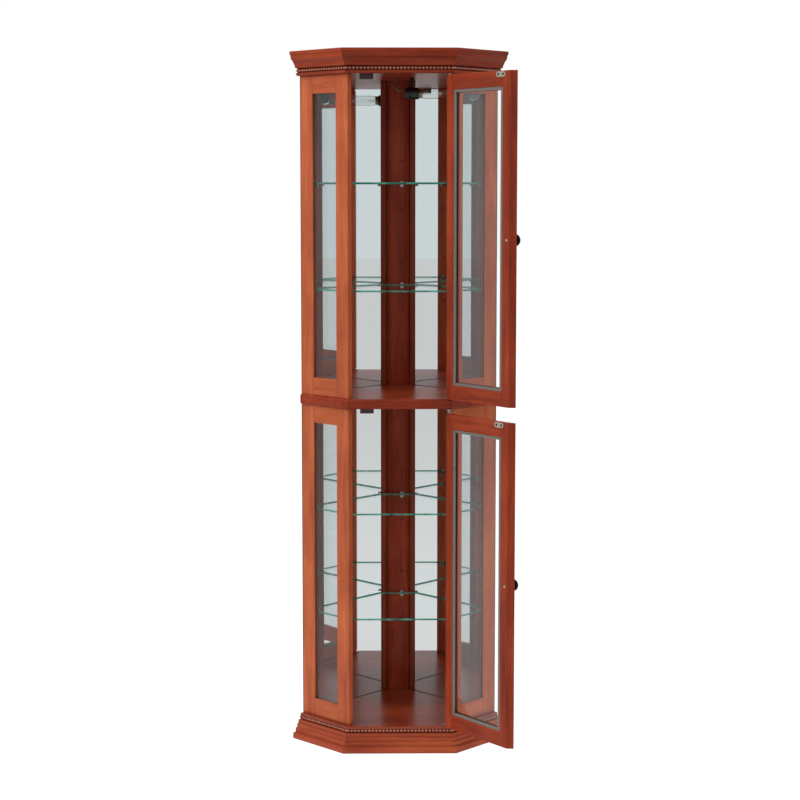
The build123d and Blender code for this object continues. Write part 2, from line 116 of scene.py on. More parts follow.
def linear(code):
    """Turn a colour written as sRGB hex into the linear values that shaders use."""
    parts = [int(code[i : i + 2], 16) / 255 for i in (1, 3, 5)]
    return tuple(p / 12.92 if p <= 0.04045 else ((p + 0.055) / 1.055) ** 2.4 for p in parts) + (1.0,)


def new_material(name):
    """Start an empty material and return it with its tree and its output node."""
    material = bpy.data.materials.new(name)
    material.use_nodes = True
    material.node_tree.nodes.clear()
    return material, material.node_tree, add_node(material.node_tree, "ShaderNodeOutputMaterial")


print("white is", linear("#FFFFFF"), "and mid grey", [round(c, 3) for c in linear("#808080")])

# %% [markdown]
# ## The studio
#
# The cabinet stands in a white studio. Tall soft boxes on the left and right
# light the angled sides, and the front gets the softer light of the room, so
# it looks deeper in colour. The mirrors show the pale grey of that room, so
# the world is white only where the camera looks at it directly, and the soft
# boxes themselves don't show in glass.

# %% Light the room
scene = bpy.context.scene
scene.view_settings.view_transform = "Standard"
world = bpy.data.worlds.new("white_studio")
world.use_nodes = True
world.node_tree.nodes.clear()
seen = add_node(world.node_tree, "ShaderNodeLightPath").outputs
white_wall = add_node(world.node_tree, "ShaderNodeBackground", {"Color": linear("#FFFFFF"), "Strength": 1.0})
mirrored = add_node(world.node_tree, "ShaderNodeBackground", {"Color": linear("#EFF7F9"), "Strength": 0.85})
soft_room = add_node(world.node_tree, "ShaderNodeBackground", {"Color": linear("#FFFFFF"), "Strength": 0.42})
room = add_node(
    world.node_tree,
    "ShaderNodeMixShader",
    {0: seen["Is Glossy Ray"], 1: soft_room.outputs[0], 2: mirrored.outputs[0]},
)
which = add_node(
    world.node_tree,
    "ShaderNodeMixShader",
    {0: seen["Is Camera Ray"], 1: room.outputs[0], 2: white_wall.outputs[0]},
)
add_node(world.node_tree, "ShaderNodeOutputWorld", {"Surface": which.outputs[0]})
scene.world = world


def soft_box(name, place, size, power):
    """Hang a soft box that faces the middle of the cabinet."""
    lamp = bpy.data.lights.new(name, "AREA")
    lamp.shape = "RECTANGLE"
    lamp.size, lamp.size_y = size
    lamp.energy = power
    box = bpy.data.objects.new(name, lamp)
    box.location = place
    box.rotation_euler = (Vector((0, 0.1, 0.9)) - Vector(place)).to_track_quat("-Z", "Y").to_euler()
    box.visible_glossy = False
    scene.collection.objects.link(box)


soft_box("left_soft_box", (-2.5, -0.6, 2.8), (1.2, 2.0), 50)
soft_box("right_soft_box", (2.8, -0.7, 2.4), (1.2, 2.4), 12)
soft_box("top_soft_box", (0.2, -1.2, 3.4), (2.2, 1.4), 15)

# %% Lay the studio floor
# The floor glows, though it is no lamp. The camera sees it evenly white at 0.96, glossy rays see it at 0.58,
# and other rays see a painted pool of light: 0.85 within half a metre of the middle, fading to 0.2 at 1.8 m,
# which lights the plinth from below.
floor_paint, tree, out = new_material("white_studio_floor")
scuffs = add_node(tree, "ShaderNodeTexNoise", {"Scale": 3.0, "Detail": 3.0})
sheen = add_node(tree, "ShaderNodeMapRange", {"Value": scuffs.outputs[0], "To Min": 0.75, "To Max": 0.9})
ray = add_node(tree, "ShaderNodeLightPath").outputs
spot = add_node(tree, "ShaderNodeTexCoord").outputs["Object"]
away = add_node(tree, "ShaderNodeVectorMath", {0: spot}, operation="LENGTH").outputs["Value"]
painted_light_pool = add_node(
    tree,
    "ShaderNodeMapRange",
    {"Value": away, "From Min": 0.5, "From Max": 1.8, "To Min": 0.85, "To Max": 0.2},
)
mirrored_floor = add_node(
    tree, "ShaderNodeMix", {0: ray["Is Glossy Ray"], 2: painted_light_pool.outputs[0], 3: 0.58}, data_type="FLOAT"
)
glow = add_node(
    tree, "ShaderNodeMix", {0: ray["Is Camera Ray"], 2: mirrored_floor.outputs[0], 3: 0.96}, data_type="FLOAT"
)
floor_face = add_node(
    tree,
    "ShaderNodeBsdfPrincipled",
    {
        "Base Color": linear("#9A9A9A"),
        "Roughness": sheen.outputs[0],
        "Specular IOR Level": 0.0,
        "Emission Color": linear("#FFFFFF"),
        "Emission Strength": glow.outputs[0],
    },
)
tree.links.new(floor_face.outputs[0], out.inputs["Surface"])
floor_mesh = bpy.data.meshes.new("studio_floor")
reach = 30.0
corners = [(-reach, -reach, 0), (reach, -reach, 0), (reach, reach, 0), (-reach, reach, 0)]
floor_mesh.from_pydata(corners, [], [(0, 1, 2, 3)])
floor_mesh.materials.append(floor_paint)
studio_floor = bpy.data.objects.new("studio_floor", floor_mesh)
studio_floor.location.z = -0.0005
scene.collection.objects.link(studio_floor)
print("floor", 2 * reach, "m across")

# %% [markdown]
# ## Stained and lacquered wood
#
# The frames, posts and mouldings are a plain-grained hardwood, stained a red
# cherry colour and sprayed with a satin lacquer. Three noises make it: broad
# ribbons of figure about 26 mm wide, streaks of pores, and the blotches that
# stain leaves. Real pores are under half a millimetre, too fine to show from
# here, so they are drawn 1.6 mm wide. A Mapping node turns each pattern to run
# along the board. The side frames and the plinth get lighter copies of the
# finish than the rest. This is painted light where the soft boxes and the floor
# light them, and painted shade on the rest. Each tone and each direction of
# grain gets its own material. Shade is also painted into the corners and
# joints, and darkens the last 5 mm before them.

# %% Make the wood finish
def lacquered_cherry(name, along, dark, middle, light, gloss=0.12, stain_left_in_shade=0.22):
    """Red-stained wood with its grain along a direction, under satin lacquer, with painted shade in its
    corners and joints.
    """
    material, tree, out = new_material(name)
    turn = Vector(along).to_track_quat("X", "Y" if abs(along[2]) > 0.5 else "Z").to_euler()
    place = add_node(tree, "ShaderNodeTexCoord").outputs["Object"]

    def pattern(length, width, detail, distortion):
        """A noise whose spots are length by width, in millimetres."""
        size = (length * MM, width * MM, width * MM)
        laid = add_node(
            tree,
            "ShaderNodeMapping",
            {"Vector": place, "Rotation": turn, "Scale": size},
            vector_type="TEXTURE",
        )
        return add_node(
            tree,
            "ShaderNodeTexNoise",
            {"Vector": laid.outputs[0], "Scale": 1.0, "Detail": detail, "Distortion": distortion},
        ).outputs[0]

    figure = pattern(320, 26, 3.0, 0.8)
    pores = pattern(45, 1.6, 3.0, 0.2)
    blotch = pattern(150, 90, 2.0, 0.0)
    grain = add_node(tree, "ShaderNodeMix", {0: 0.42, 2: figure, 3: pores}, data_type="FLOAT")
    tone = add_node(tree, "ShaderNodeMix", {0: 0.3, 2: grain.outputs[0], 3: blotch}, data_type="FLOAT")
    stain = add_node(tree, "ShaderNodeValToRGB", {"Fac": tone.outputs[0]})
    stops = stain.color_ramp.elements
    stops[0].position, stops[0].color = 0.3, linear(dark)
    stops[1].position, stops[1].color = 0.7, linear(light)
    halfway = stops.new(0.5)
    halfway.color = linear(middle)
    # Painted shade: an occlusion mask darkens the stain towards a near black brown in the last 5 mm before
    # corners and joints.
    occlusion = add_node(tree, "ShaderNodeAmbientOcclusion", {"Distance": 5 * MM}, samples=8)
    painted_shade = add_node(
        tree,
        "ShaderNodeMapRange",
        {"Value": occlusion.outputs["AO"], "From Min": 0.25, "From Max": 0.85, "To Min": stain_left_in_shade},
    )
    stain_with_shade = add_node(
        tree,
        "ShaderNodeMix",
        {0: painted_shade.outputs[0], 6: linear("#2A0A05"), 7: stain.outputs[0]},
        data_type="RGBA",
    )
    haze = add_node(tree, "ShaderNodeMapRange", {"Value": blotch, "To Min": 0.26, "To Max": 0.38})
    relief = add_node(
        tree, "ShaderNodeBump", {"Strength": 0.1, "Distance": 0.2 * MM, "Height": pores}
    )
    face = add_node(
        tree,
        "ShaderNodeBsdfPrincipled",
        {
            "Base Color": stain_with_shade.outputs[2],
            "Roughness": haze.outputs[0],
            "Normal": relief.outputs[0],
            "IOR": 1.5,
            "Specular IOR Level": gloss,
            "Coat Weight": gloss / 3,
            "Coat Roughness": 0.1,
        },
    )
    tree.links.new(face.outputs[0], out.inputs["Surface"])
    return material


turned = radians(-min(joint["range_deg"][0] for joint in frame["joints"]))
ALONG = {
    "upright": (0, 0, 1),
    "front": (1, 0, 0),
    "right": (1, 1, 0),
    "left": (1, -1, 0),
    "door": (cos(turned), sin(turned), 0),
}
# Lit and shaded copies of one stain, painted light and shade: light for the side frames that face the soft
# boxes, middle for the plinth that the floor lights, deep for the shaded rest.
LIT_AND_SHADED_TONES = {
    "light": ("#93422A", "#BC5E3A", "#D8794C"),
    "middle": ("#80321E", "#AB4C2F", "#CC683F"),
    "deep": ("#6A2212", "#95381F", "#BA512E"),
}
wood = {}


def wood_for(tone, way):
    """The finish of one tone, a lit or shaded copy of the stain, with its grain one way, made when it is
    first asked for.
    """
    if (tone, way) not in wood:
        wood[tone, way] = lacquered_cherry(f"cherry_{tone}_{way}", ALONG[way], *LIT_AND_SHADED_TONES[tone])
    return wood[tone, way]


print(len(LIT_AND_SHADED_TONES), "stain tones,", len(ALONG), "directions of grain")

# %% [markdown]
# ## Eased edges
#
# No wooden edge on a sprayed cabinet is sharp: each is sanded round by about
# half a millimetre, which catches a thin line of light and leaves a fine groove
# at every joint. The CAD solids have sharp edges, so each is copied, its loose
# triangles are joined into clean faces, and a Bevel modifier rounds the edges.
# Hardened normals keep the broad faces flat.

# %% Ease the edges of a CAD piece
SHARP_EDGE = radians(32)


def dressed_copy(node, finish, easing):
    """Copy a CAD node, round its edges by easing in millimetres, and let it stand for the node."""
    source = frame["nodes"][node]
    form = bmesh.new()
    form.from_mesh(source.data)
    bmesh.ops.remove_doubles(form, verts=form.verts, dist=0.01 * MM)
    bmesh.ops.dissolve_limit(form, angle_limit=radians(0.5), verts=form.verts, edges=form.edges)
    mesh = bpy.data.meshes.new(f"{node}_dressed")
    form.to_mesh(mesh)
    form.free()
    mesh.materials.clear()
    mesh.materials.append(finish)
    mesh.shade_smooth()
    mesh.set_sharp_from_angle(angle=SHARP_EDGE)
    piece = bpy.data.objects.new(f"{node}_dressed", mesh)
    scene.collection.objects.link(piece)
    if easing:
        rounding = piece.modifiers.new("eased_edges", "BEVEL")
        rounding.width = easing * MM
        rounding.segments = 2
        rounding.limit_method = "ANGLE"
        rounding.angle_limit = SHARP_EDGE
        rounding.harden_normals = True
    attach(piece, source["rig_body"])
    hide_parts(node)
    return piece


LEVELS = ("lower", "upper")
grain_of = {"wall_stiles": "upright", "base_back_rails": "front"}
for level in LEVELS:
    grain_of[f"{level}_corner_post"] = "upright"
    grain_of[f"{level}_door_stiles"] = "upright"
    grain_of[f"{level}_door_rails"] = "door"
    for side in ("left", "right"):
        grain_of[f"{level}_{side}_stiles"] = "upright"
        grain_of[f"{level}_{side}_rails"] = side
for run in ("front", "left", "right"):
    grain_of[f"base_{run}"] = run
    grain_of[f"crown_{run}"] = run
for board in ("waist_board", "top_board", "crown_cap"):
    grain_of[board] = "front"
for node, way in grain_of.items():
    side_frame = "left_" in node or "right_" in node
    # The tone paints light and shade: side frames lit most, the plinth less, the rest in shade.
    tone = "light" if side_frame else "middle" if node.startswith("base_") else "deep"
    moulded = node.startswith(("base_", "crown_"))
    dressed_copy(node, wood_for(tone, way), easing=0.35 if moulded else 0.7)
print(len(grain_of), "wooden pieces dressed,", len(wood), "finishes")

# %% [markdown]
# ## The floor board
#
# The floor inside is veneered board, and its lacquer is glossier, since it is
# wiped often. It is the same finish with deeper colours. It is the same finish
# as the frames, figure included, with deeper colours and more gloss.

# %% Finish the floor board
floor_veneer = lacquered_cherry(
    "cherry_floor_veneer", ALONG["front"], "#652212", "#8E361D", "#AE4E2D", gloss=0.32
)
dressed_copy("base_board", floor_veneer, easing=0.35)
print("floor board veneered")

# %% [markdown]
# ## The thin strips on the mirrors
#
# Two thin strips hold the mirrors beside the rear post. They lie in shade, and
# their stain is more even than that of the frames.

# %% Finish the mirror strips
even_stain = lacquered_cherry("dark_stained_strip", ALONG["upright"], "#78301F", "#913E29", "#A75037")
dressed_copy("mirror_strips", even_stain, easing=0.8)
print("mirror strips finished")

# %% [markdown]
# ## Back panels
#
# The outside of the rear walls is brown hardboard: wood fibre pressed to a
# matt, slightly mottled sheet. It has no grain, so its noise is the same in
# every direction, with fibres a few millimetres long.

# %% Finish the back panels
hardboard, tree, out = new_material("brown_hardboard")
place = add_node(tree, "ShaderNodeTexCoord").outputs["Object"]
fibres = add_node(tree, "ShaderNodeTexNoise", {"Vector": place, "Scale": 260.0, "Detail": 6.0})
cloud = add_node(tree, "ShaderNodeTexNoise", {"Vector": place, "Scale": 7.0, "Detail": 2.0})
mottle = add_node(
    tree, "ShaderNodeMix", {0: 0.5, 2: fibres.outputs[0], 3: cloud.outputs[0]}, data_type="FLOAT"
)
board_tone = add_node(tree, "ShaderNodeValToRGB", {"Fac": mottle.outputs[0]})
board_tone.color_ramp.elements[0].position = 0.3
board_tone.color_ramp.elements[0].color = linear("#5B3826")
board_tone.color_ramp.elements[1].position = 0.7
board_tone.color_ramp.elements[1].color = linear("#83583E")
fuzz = add_node(
    tree, "ShaderNodeBump", {"Strength": 0.25, "Distance": 0.2 * MM, "Height": fibres.outputs[0]}
)
board_face = add_node(
    tree,
    "ShaderNodeBsdfPrincipled",
    {"Base Color": board_tone.outputs[0], "Roughness": 0.78, "Normal": fuzz.outputs[0]},
)
tree.links.new(board_face.outputs[0], out.inputs["Surface"])
for side in ("left", "right"):
    dressed_copy(f"back_panel_{side}", hardboard, easing=0)
print("back panels covered")

# %% [markdown]
# ## Mirrors
#
# The rear walls are silvered float glass. Silver reflects nearly all light,
# and the glass in front of it takes a little red away, so reflections look
# slightly green. A faint uneven haze of fingerprints varies the roughness.

# %% Silver the mirrors
silvered_glass, tree, out = new_material("silvered_glass")
place = add_node(tree, "ShaderNodeTexCoord").outputs["Object"]
smudge = add_node(tree, "ShaderNodeTexNoise", {"Vector": place, "Scale": 14.0, "Detail": 4.0})
haze = add_node(
    tree,
    "ShaderNodeMapRange",
    {"Value": smudge.outputs[0], "From Min": 0.45, "From Max": 0.8, "To Min": 0.004, "To Max": 0.03},
)
silver = add_node(
    tree,
    "ShaderNodeBsdfPrincipled",
    {"Base Color": linear("#F2F4F4"), "Metallic": 1.0, "Roughness": haze.outputs[0]},
)
tree.links.new(silver.outputs[0], out.inputs["Surface"])
for level in LEVELS:
    dressed_copy(f"{level}_mirrors", silvered_glass, easing=0)
print("mirrors silvered")

# %% [markdown]
# ## The seams at the mirrors' feet
#
# Along each mirror's foot lies a thin dark bead on the board below it. It is
# painted shade: a dark object put in the crease where the mirror meets the board.
# The bead is a half round 1.6 mm wide, follows the mirror's foot a tenth of a
# millimetre in front of it, and shows a second time in the glass.

# %% Run the painted shade along the mirrors' feet
shade_bead, tree, out = new_material("dark_sealant")
place = add_node(tree, "ShaderNodeTexCoord").outputs["Object"]
lumps = add_node(tree, "ShaderNodeTexNoise", {"Vector": place, "Scale": 400.0, "Detail": 2.0})
skin = add_node(tree, "ShaderNodeMapRange", {"Value": lumps.outputs[0], "To Min": 0.4, "To Max": 0.6})
shade_bead_face = add_node(
    tree, "ShaderNodeBsdfPrincipled", {"Base Color": linear("#120907"), "Roughness": skin.outputs[0]}
)
tree.links.new(shade_bead_face.outputs[0], out.inputs["Surface"])


SHADE_BEAD_RADIUS = 0.8 * MM
SHADE_BEAD_OFF_GLASS = 0.1 * MM
SHADE_BEAD_FROM_MIDDLE = 31 * MM
SHADE_BEAD_FROM_STILE = 26 * MM
SHADE_BEAD_STEPS = 6


def shade_bead_run(level, side):
    """A half-round bead of painted shade along one mirror's foot, from the mirror strip to the wall stile."""
    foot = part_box(f"{level}_mirrors")[0].z
    post_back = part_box(f"{level}_corner_post")[1].y
    near_x, far_x = SHADE_BEAD_FROM_MIDDLE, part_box("wall_stiles")[1].x - SHADE_BEAD_FROM_STILE
    form = bmesh.new()
    rings = []
    for x in (near_x, far_x):
        spot = Vector((side * x, post_back - x, foot))
        into = Vector((-side, -1, 0)).normalized()
        ring = []
        for step in range(SHADE_BEAD_STEPS + 1):
            angle = pi * step / SHADE_BEAD_STEPS
            out_from_glass = SHADE_BEAD_OFF_GLASS + SHADE_BEAD_RADIUS * (1 - cos(angle))
            rise = Vector((0, 0, SHADE_BEAD_RADIUS * sin(angle)))
            ring.append(form.verts.new(spot + into * out_from_glass + rise))
        rings.append(ring)
    for step in range(SHADE_BEAD_STEPS):
        form.faces.new((rings[0][step], rings[0][step + 1], rings[1][step + 1], rings[1][step]))
    form.faces.new(rings[0])
    form.faces.new(list(reversed(rings[1])))
    form.faces.new((rings[0][-1], rings[0][0], rings[1][0], rings[1][-1]))
    bmesh.ops.recalc_face_normals(form, faces=form.faces)
    name = f"{level}_sealant_{'left' if side < 0 else 'right'}"
    mesh = bpy.data.meshes.new(name)
    form.to_mesh(mesh)
    form.free()
    mesh.materials.append(shade_bead)
    run = bpy.data.objects.new(name, mesh)
    scene.collection.objects.link(run)
    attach(run, "carcase")


# Four runs of painted shade, one at each mirror's foot.
for level in LEVELS:
    for side in (-1, 1):
        shade_bead_run(level, side)
print("four runs of sealant")

# %% [markdown]
# ## Panes of clear glass
#
# A pane is 3 mm float glass: what is behind it shows nearly unchanged, with a
# trace of green, and its faces mirror the room more the more aslant they are
# seen. Light has to reach the inside, so the glass is a Transparent shader
# mixed with a glossy one. Facing to the fifth power is how strongly a smooth
# glass face mirrors: 4 percent head on and nearly all at a grazing angle.

# %% Make clear glass
def mirrored_share(tree, head_on=0.04):
    """How much of the light a smooth glass face mirrors, from the angle it is seen at."""
    facing = add_node(tree, "ShaderNodeLayerWeight", {"Blend": 0.5}).outputs["Facing"]
    steep = add_node(tree, "ShaderNodeMath", {0: facing, 1: 5.0}, operation="POWER")
    return add_node(
        tree, "ShaderNodeMath", {0: steep.outputs[0], 1: 1 - head_on, 2: head_on}, operation="MULTIPLY_ADD"
    ).outputs[0]


def clear_glass(name, tint):
    """Thin clear glass that lets light through, with a tint and a mirror-like face."""
    material, tree, out = new_material(name)
    place = add_node(tree, "ShaderNodeTexCoord").outputs["Object"]
    film = add_node(tree, "ShaderNodeTexNoise", {"Vector": place, "Scale": 18.0, "Detail": 3.0})
    wiped = add_node(
        tree,
        "ShaderNodeMapRange",
        {"Value": film.outputs[0], "To Min": 0.0, "To Max": 0.008},
    )
    through = add_node(tree, "ShaderNodeBsdfTransparent", {"Color": linear(tint)})
    shine = add_node(
        tree, "ShaderNodeBsdfGlossy", {"Color": linear("#FFFFFF"), "Roughness": wiped.outputs[0]}
    )
    glass = add_node(
        tree, "ShaderNodeMixShader", {0: mirrored_share(tree), 1: through.outputs[0], 2: shine.outputs[0]}
    )
    tree.links.new(glass.outputs[0], out.inputs["Surface"])
    return material


pane_glass = clear_glass("clear_float_pane", "#FAFBFB")
for level in LEVELS:
    for pane in (f"{level}_left_glass", f"{level}_right_glass", f"{level}_door_glass"):
        dressed_copy(pane, pane_glass, easing=0)
print("six panes glazed")

# %% [markdown]
# ## Glass shelves
#
# The shelves are 5 mm glass. Through the top they are as clear as the panes,
# but the polished edges pass light that has travelled the whole width of the
# glass, so they glow blue-green. The material tells the two apart by the way
# a face points: up and down are clear, and the rest is edge.

# %% Cut the shelves
shelf_glass, tree, out = new_material("polished_shelf_glass")
through = add_node(tree, "ShaderNodeBsdfTransparent", {"Color": linear("#FEFFFF")})
shine = add_node(tree, "ShaderNodeBsdfGlossy", {"Color": linear("#FFFFFF"), "Roughness": 0.0})
held_back = add_node(tree, "ShaderNodeMath", {0: mirrored_share(tree), 1: 0.22}, operation="MULTIPLY")
flat_glass = add_node(
    tree, "ShaderNodeMixShader", {0: held_back.outputs[0], 1: through.outputs[0], 2: shine.outputs[0]}
)
place = add_node(tree, "ShaderNodeTexCoord").outputs["Object"]
ripple = add_node(tree, "ShaderNodeTexNoise", {"Vector": place, "Scale": 45.0, "Detail": 2.0})
edge_tone = add_node(tree, "ShaderNodeValToRGB", {"Fac": ripple.outputs[0]})
edge_tone.color_ramp.elements[0].position = 0.35
edge_tone.color_ramp.elements[0].color = linear("#0E5A4C")
edge_tone.color_ramp.elements[1].position = 0.7
edge_tone.color_ramp.elements[1].color = linear("#4FB39B")
edge_glow = add_node(
    tree,
    "ShaderNodeBsdfPrincipled",
    {"Base Color": edge_tone.outputs[0], "Roughness": 0.08, "IOR": 1.52},
)
edge_clear = add_node(tree, "ShaderNodeBsdfTransparent", {"Color": linear("#7FD0BC")})
edge = add_node(tree, "ShaderNodeMixShader", {0: 0.7, 1: edge_clear.outputs[0], 2: edge_glow.outputs[0]})
points_up = add_node(
    tree, "ShaderNodeSeparateXYZ", {0: add_node(tree, "ShaderNodeNewGeometry").outputs["Normal"]}
)
level_face = add_node(tree, "ShaderNodeMath", {0: points_up.outputs["Z"]}, operation="ABSOLUTE")
is_flat = add_node(tree, "ShaderNodeMath", {0: level_face.outputs[0], 1: 0.7}, operation="GREATER_THAN")
shelf_face = add_node(
    tree, "ShaderNodeMixShader", {0: is_flat.outputs[0], 1: edge.outputs[0], 2: flat_glass.outputs[0]}
)
tree.links.new(shelf_face.outputs[0], out.inputs["Surface"])
shelves = [node for node in frame["nodes"] if node.endswith("_shelf")]
for node in shelves:
    dressed_copy(node, shelf_glass, easing=0.8)
print(len(shelves), "shelves cut")

# %% [markdown]
# ## Glazing strips
#
# Grey strips of soft plastic hold the panes in their frames. They are
# extruded, with a satin sheen and a shallow channel between two lips along the
# face that looks at the room. Shade is painted into the channel and beside the
# frame: the strip is darker wherever little open air is above it.

# %% Extrude the glazing strips
grey_strip, tree, out = new_material("grey_extruded_vinyl")
place = add_node(tree, "ShaderNodeTexCoord").outputs["Object"]
drawn = add_node(tree, "ShaderNodeTexNoise", {"Vector": place, "Scale": 320.0, "Detail": 2.0})
strip_tone = add_node(tree, "ShaderNodeValToRGB", {"Fac": drawn.outputs[0]})
strip_tone.color_ramp.elements[0].position = 0.3
strip_tone.color_ramp.elements[0].color = linear("#665F58")
strip_tone.color_ramp.elements[1].position = 0.7
strip_tone.color_ramp.elements[1].color = linear("#8C857D")
# Painted shade: the strip darkens towards a dark grey brown where the occlusion mask finds little open air
# above it.
occlusion = add_node(tree, "ShaderNodeAmbientOcclusion", {"Distance": 3 * MM}, samples=8)
strip_shade = add_node(
    tree,
    "ShaderNodeMapRange",
    {"Value": occlusion.outputs["AO"], "From Min": 0.4, "From Max": 0.95, "To Min": 0.1},
)
shaded = add_node(
    tree,
    "ShaderNodeMix",
    {0: strip_shade.outputs[0], 6: linear("#231E1A"), 7: strip_tone.outputs[0]},
    data_type="RGBA",
)
strip_face = add_node(
    tree, "ShaderNodeBsdfPrincipled", {"Base Color": shaded.outputs[2], "Roughness": 0.3}
)
tree.links.new(strip_face.outputs[0], out.inputs["Surface"])


GROOVE_LIP = 1.9 * MM
GROOVE_DEPTH = 1.2 * MM


def grooved(piece, facings):
    """Sink a channel between two lips into the faces that look along one of the facings."""
    form = bmesh.new()
    form.from_mesh(piece.data)
    form.normal_update()
    shown = [f for f in form.faces if any(f.normal.dot(way) > 0.95 for way in facings)]
    bmesh.ops.inset_individual(form, faces=shown, thickness=GROOVE_LIP, depth=-GROOVE_DEPTH)
    form.to_mesh(piece.data)
    form.free()
    return len(shown)


across_door = Vector((-sin(turned), cos(turned), 0))
side_inward = [Vector((1, 1, 0)).normalized(), Vector((-1, 1, 0)).normalized()]
grooves = 0
for node, ways in (
    ("side_glazing_strips", side_inward),
    ("lower_door_glazing_strips", [across_door, -across_door]),
    ("upper_door_glazing_strips", [across_door, -across_door]),
):
    strip = dressed_copy(node, grey_strip, easing=0.5)
    grooves += grooved(strip, ways)
print(grooves, "grooves in the glazing strips")

# %% [markdown]
# ## Metals and plastics of the small parts
#
# Plated steel, dark bronze, the plastics, the lamp cap's alloy and the lead's
# sleeve each need only their own colour, metallic value and roughness, plus the
# fine unevenness that a plated, cast or moulded face has.

# %% Make the fittings' finishes
def fitting_finish(name, low, high, metallic, roughness, grit_mm, relief=0.05):
    """A small part's finish, mottled between two colours by spots of grit_mm."""
    material, tree, out = new_material(name)
    place = add_node(tree, "ShaderNodeTexCoord").outputs["Object"]
    grit = add_node(
        tree, "ShaderNodeTexNoise", {"Vector": place, "Scale": 1 / (grit_mm * MM), "Detail": 3.0}
    )
    tone = add_node(tree, "ShaderNodeValToRGB", {"Fac": grit.outputs[0]})
    tone.color_ramp.elements[0].position, tone.color_ramp.elements[0].color = 0.3, linear(low)
    tone.color_ramp.elements[1].position, tone.color_ramp.elements[1].color = 0.7, linear(high)
    rough = add_node(
        tree,
        "ShaderNodeMapRange",
        {"Value": grit.outputs[0], "To Min": roughness * 0.8, "To Max": roughness * 1.2},
    )
    bump = add_node(
        tree, "ShaderNodeBump", {"Strength": relief, "Distance": 0.1 * MM, "Height": grit.outputs[0]}
    )
    face = add_node(
        tree,
        "ShaderNodeBsdfPrincipled",
        {
            "Base Color": tone.outputs[0],
            "Metallic": metallic,
            "Roughness": rough.outputs[0],
            "Normal": bump.outputs[0],
        },
    )
    tree.links.new(face.outputs[0], out.inputs["Surface"])
    return material


nickel = fitting_finish("satin_nickel_plate", "#A49C8C", "#CFC7B6", 1.0, 0.3, 2.0)
zinc = fitting_finish("zinc_plated_steel", "#8F8A80", "#B5B0A6", 1.0, 0.35, 1.5)
bronze = fitting_finish("dark_bronze_casting", "#15110E", "#2E2620", 1.0, 0.3, 1.2, 0.12)
black_plastic = fitting_finish("black_bakelite", "#0B0B0C", "#161617", 0.0, 0.4, 1.0)
brown_plastic = fitting_finish("brown_moulded_plastic", "#2A1A14", "#3A251C", 0.0, 0.45, 1.5)
cap_metal = fitting_finish("lamp_cap_alloy", "#A8A48A", "#D2CFB4", 1.0, 0.22, 1.5)
sleeve = fitting_finish("copper_brown_sleeve", "#4A2415", "#7A4630", 0.0, 0.5, 0.8, 0.3)
print("seven finishes for the fittings")

# %% Dress the plates, catches and brackets
for level in LEVELS:
    dressed_copy(f"{level}_strike_plate", nickel, easing=0.3)
    dressed_copy(f"{level}_door_pivot_leaves", zinc, easing=0.15)
dressed_copy("fixed_pivots", zinc, easing=0.15)
dressed_copy("magnetic_catches", brown_plastic, easing=1.0)
dressed_copy("shelf_pins", zinc, easing=0.4)
dressed_copy("lamp_bracket", bronze, easing=0.3)
dressed_copy("lamp_lead", sleeve, easing=0)
print("plates, catches and brackets dressed")

# %% [markdown]
# ## Rows of beads
#
# Under the crown and on the plinth runs a row of turned beads, each 8 mm
# across, one every 8.7 mm. Geometry Nodes lay them: a line for each of the
# three runs is cut into equal steps, a bead is placed at every step, and the
# copies are made real so that they can be exported. The line is worked out
# from the box of the plain rod that stands for the row in the CAD model.

# %% Build the bead tree
def bead_tree():
    """A node tree that sets beads along the edges of a mesh."""
    tree = bpy.data.node_groups.new("beads_along_a_line", "GeometryNodeTree")
    face = tree.interface
    face.new_socket("Lines", in_out="INPUT", socket_type="NodeSocketGeometry")
    face.new_socket("Step", in_out="INPUT", socket_type="NodeSocketFloat")
    face.new_socket("Bead radius", in_out="INPUT", socket_type="NodeSocketFloat")
    face.new_socket("Finish", in_out="INPUT", socket_type="NodeSocketMaterial")
    face.new_socket("Beads", in_out="OUTPUT", socket_type="NodeSocketGeometry")
    given = add_node(tree, "NodeGroupInput")
    lines = add_node(tree, "GeometryNodeMeshToCurve", {"Mesh": given.outputs["Lines"]})
    steps = add_node(tree, "GeometryNodeResampleCurve", {"Curve": lines.outputs[0]})
    if "Mode" in steps.inputs:
        steps.inputs["Mode"].default_value = "Length"
    else:
        steps.mode = "LENGTH"
    tree.links.new(given.outputs["Step"], steps.inputs["Length"])
    bead = add_node(
        tree, "GeometryNodeMeshUVSphere", {"Segments": 10, "Rings": 7, "Radius": given.outputs["Bead radius"]}
    )
    smooth = add_node(tree, "GeometryNodeSetShadeSmooth", {0: bead.outputs[0]})
    laid = add_node(
        tree, "GeometryNodeInstanceOnPoints", {"Points": steps.outputs[0], "Instance": smooth.outputs[0]}
    )
    real = add_node(tree, "GeometryNodeRealizeInstances", {0: laid.outputs[0]})
    finished = add_node(
        tree,
        "GeometryNodeSetMaterial",
        {"Geometry": real.outputs[0], "Material": given.outputs["Finish"]},
    )
    add_node(tree, "NodeGroupOutput", {"Beads": finished.outputs[0]})
    return tree


def socket_key(tree, name):
    """The identifier of a tree's input, which is how a modifier knows it."""
    return next(s.identifier for s in tree.interface.items_tree if s.name == name and s.in_out == "INPUT")


